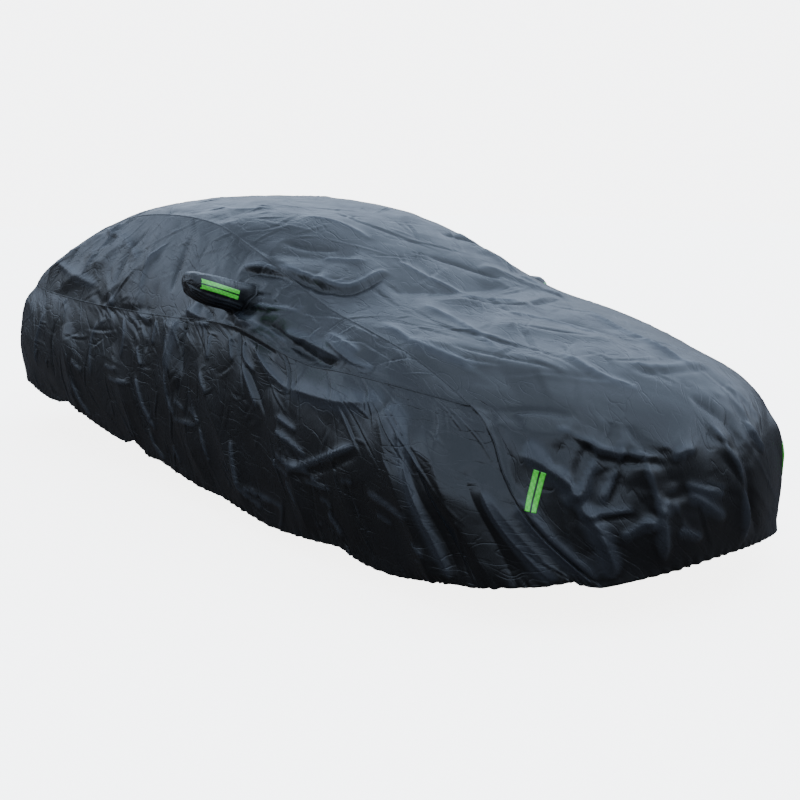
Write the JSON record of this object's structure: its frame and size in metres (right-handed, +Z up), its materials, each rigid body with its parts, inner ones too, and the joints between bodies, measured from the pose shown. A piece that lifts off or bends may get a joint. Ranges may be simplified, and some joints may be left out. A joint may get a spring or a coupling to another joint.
{
  "type": "fitted car cover",
  "caption": "Hollow fitted cover of thin black cloth, draped over a low fastback car, with mirror pockets, an elastic hem and green reflective strips.",
  "frame": {"origin": "mount car_roof, the point under the cover's top, on the inside, where the car's roof holds it up", "axes": "the cover's front faces -Y, its right side is at -X, +Z is up; the middle plane is X = 0"},
  "size_m": [2.1302, 4.9623, 1.3556],
  "materials": {
    "black_cloth": "thin coated polyester, black with a soft blue-grey sheen and fine creases",
    "green_reflective": "lime green reflective tape with a thin dark line along its middle"
  },
  "bodies": {
    "root": {"centre_panel": "black_cloth", "upper_side_right": "black_cloth", "lower_side_right": "black_cloth", "mirror_pocket_right": "black_cloth", "pocket_strip_right": "green_reflective", "corner_strip_right": "green_reflective", "upper_side_left": "black_cloth", "lower_side_left": "black_cloth", "mirror_pocket_left": "black_cloth", "pocket_strip_left": "green_reflective", "corner_strip_left": "green_reflective"}
  },
  "joints": []
}
